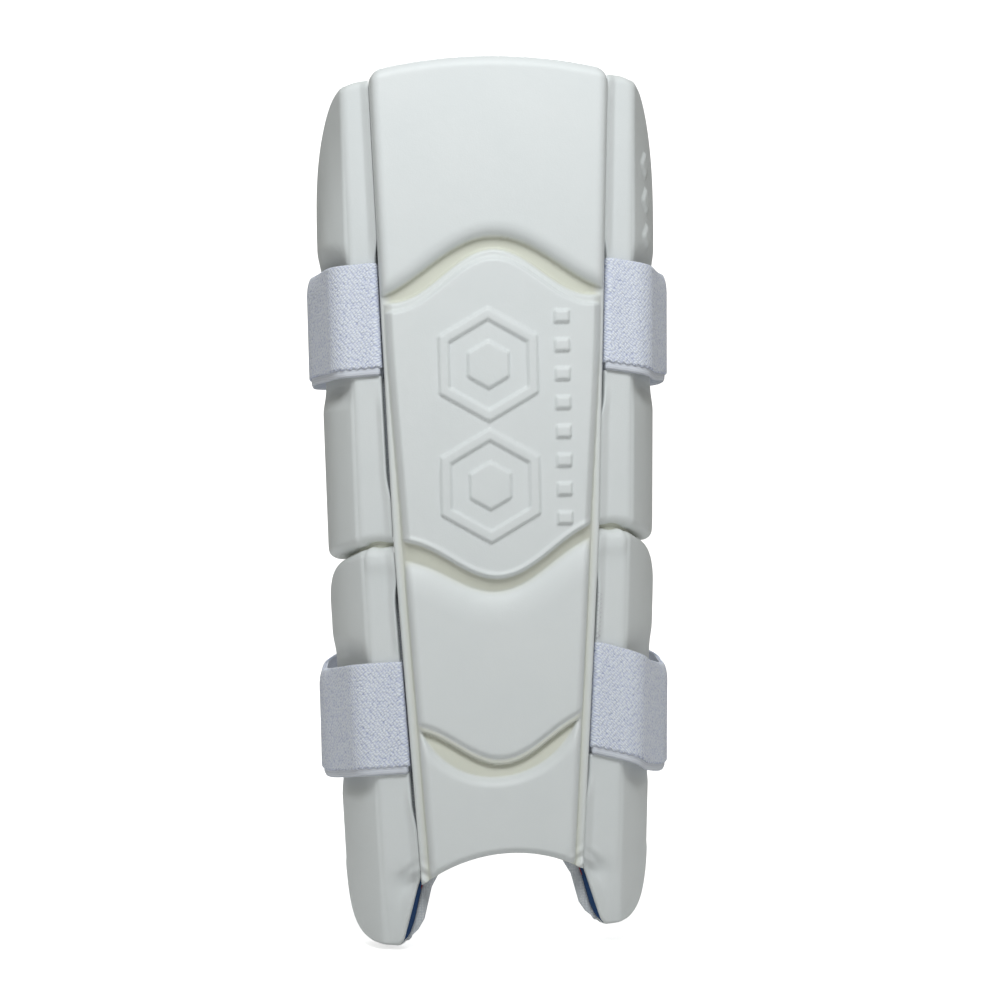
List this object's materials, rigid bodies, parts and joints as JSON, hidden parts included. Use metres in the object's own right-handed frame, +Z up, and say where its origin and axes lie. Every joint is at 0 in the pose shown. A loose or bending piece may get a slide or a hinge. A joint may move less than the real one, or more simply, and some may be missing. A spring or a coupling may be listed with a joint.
{
  "type": "cricket leg pad",
  "caption": "White moulded leg guard: raised panels on a centre column split at the knee, side wings that wrap the shin, and wide elastic straps that pass through slots and close behind.",
  "frame": {"origin": "On the axis of the wearer's leg, level with the knee flex line.", "axes": "+Z runs up the leg towards the thigh. -Y points out of the moulded front, at whoever faces the pad. +X is to the right of someone who looks at the front."},
  "size_m": [0.263, 0.158, 0.6263],
  "materials": {
    "facing": "semi-gloss",
    "flex_web": "semi-gloss",
    "foam": "matte",
    "lining": "matte",
    "padding": "matte",
    "piping": "satin",
    "elastic": "matte",
    "hook_tape": "matte"
  },
  "bodies": {
    "shin_section": {"shin_facing": "facing", "shin_core": "foam", "shin_lining": "lining", "shin_panel_insert": "foam", "instep_panel_insert": "foam", "knee_flex_web": "flex_web", "foot_piping": "piping", "shin_bolster_left": "padding", "shin_bolster_middle": "padding", "shin_bolster_right": "padding", "lower_strap_behind_column": "elastic"},
    "knee_section": {"knee_facing": "facing", "knee_core": "foam", "knee_lining": "lining", "top_panel_insert": "foam", "knee_plate_insert": "foam", "crown_piping": "piping", "knee_roll_upper": "padding", "knee_roll_lower": "padding", "knee_cushion": "padding", "upper_strap_behind_column": "elastic"},
    "upper_left_wing": {"upper_left_wing_facing": "facing", "upper_left_wing_core": "foam", "upper_left_wing_lining": "lining", "upper_left_wing_piping": "piping", "upper_strap_over_left_wing": "elastic"},
    "upper_right_wing": {"upper_right_wing_facing": "facing", "upper_right_wing_core": "foam", "upper_right_wing_lining": "lining", "upper_right_wing_piping": "piping", "upper_strap_over_right_wing": "elastic"},
    "upper_strap_outer": {"upper_strap_outer_half": "elastic"},
    "upper_strap_inner": {"upper_strap_inner_half": "elastic"},
    "upper_strap_tab": {"upper_strap_tab": "elastic", "upper_strap_hook_patch": "hook_tape"},
    "lower_left_wing": {"lower_left_wing_facing": "facing", "lower_left_wing_core": "foam", "lower_left_wing_lining": "lining", "lower_left_wing_piping": "piping", "lower_strap_over_left_wing": "elastic", "lower_left_wing_ear_trim": "piping"},
    "lower_right_wing": {"lower_right_wing_facing": "facing", "lower_right_wing_core": "foam", "lower_right_wing_lining": "lining", "lower_right_wing_piping": "piping", "lower_strap_over_right_wing": "elastic", "lower_right_wing_ear_trim": "piping"},
    "lower_strap_outer": {"lower_strap_outer_half": "elastic"},
    "lower_strap_inner": {"lower_strap_inner_half": "elastic"},
    "lower_strap_tab": {"lower_strap_tab": "elastic", "lower_strap_hook_patch": "hook_tape"}
  },
  "joints": [
    {"name": "knee_flex", "type": "hinge", "parent": "shin_section", "child": "knee_section", "pos_m": [0, -0.0515, 0], "axis": [1, 0, 0], "range_deg": [-4, 6], "stiffness_Nm_per_rad": 5, "deforming": ["knee_flex_web"]},
    {"name": "upper_right_wing_flex", "type": "hinge", "parent": "knee_section", "child": "upper_right_wing", "pos_m": [0.0724, -0.0785, 0], "axis": [-0.0371, 0, -0.9993], "range_deg": [0, 8], "stiffness_Nm_per_rad": 1.5},
    {"name": "upper_left_wing_flex", "type": "hinge", "parent": "knee_section", "child": "upper_left_wing", "pos_m": [-0.0724, -0.0785, 0], "axis": [-0.0371, 0, 0.9993], "range_deg": [0, 8], "stiffness_Nm_per_rad": 1.5},
    {"name": "lower_right_wing_flex", "type": "hinge", "parent": "shin_section", "child": "lower_right_wing", "pos_m": [0.0724, -0.0785, 0], "axis": [-0.0651, 0, -0.9979], "range_deg": [0, 8], "stiffness_Nm_per_rad": 1.5},
    {"name": "lower_left_wing_flex", "type": "hinge", "parent": "shin_section", "child": "lower_left_wing", "pos_m": [-0.0724, -0.0785, 0], "axis": [-0.0651, 0, 0.9979], "range_deg": [0, 8], "stiffness_Nm_per_rad": 1.5},
    {"name": "upper_strap_outer_swing", "type": "hinge", "parent": "upper_right_wing", "child": "upper_strap_outer", "pos_m": [0.1315, 0.0042, 0], "axis": [0, 0, -1], "range_deg": [0, 95]},
    {"name": "upper_strap_inner_swing", "type": "hinge", "parent": "upper_left_wing", "child": "upper_strap_inner", "pos_m": [-0.1315, 0.0042, 0], "axis": [0, 0, 1], "range_deg": [0, 95]},
    {"name": "upper_strap_tab_peel", "type": "hinge", "parent": "upper_strap_outer", "child": "upper_strap_tab", "pos_m": [-0.0298, 0.0625, 0], "axis": [0, 0, -1], "range_deg": [0, 100]},
    {"name": "lower_strap_outer_swing", "type": "hinge", "parent": "lower_right_wing", "child": "lower_strap_outer", "pos_m": [0.1275, 0.0042, 0], "axis": [0, 0, -1], "range_deg": [0, 95]},
    {"name": "lower_strap_inner_swing", "type": "hinge", "parent": "lower_left_wing", "child": "lower_strap_inner", "pos_m": [-0.1275, 0.0042, 0], "axis": [0, 0, 1], "range_deg": [0, 95]},
    {"name": "lower_strap_tab_peel", "type": "hinge", "parent": "lower_strap_outer", "child": "lower_strap_tab", "pos_m": [-0.0298, 0.0625, 0], "axis": [0, 0, -1], "range_deg": [0, 100]}
  ],
  "couplings": [
    {"joint": "upper_left_wing_flex", "follows": "upper_right_wing_flex", "ratio": 1},
    {"joint": "upper_strap_inner_swing", "follows": "upper_strap_outer_swing", "ratio": 1},
    {"joint": "lower_left_wing_flex", "follows": "lower_right_wing_flex", "ratio": 1},
    {"joint": "lower_strap_inner_swing", "follows": "lower_strap_outer_swing", "ratio": 1}
  ]
}
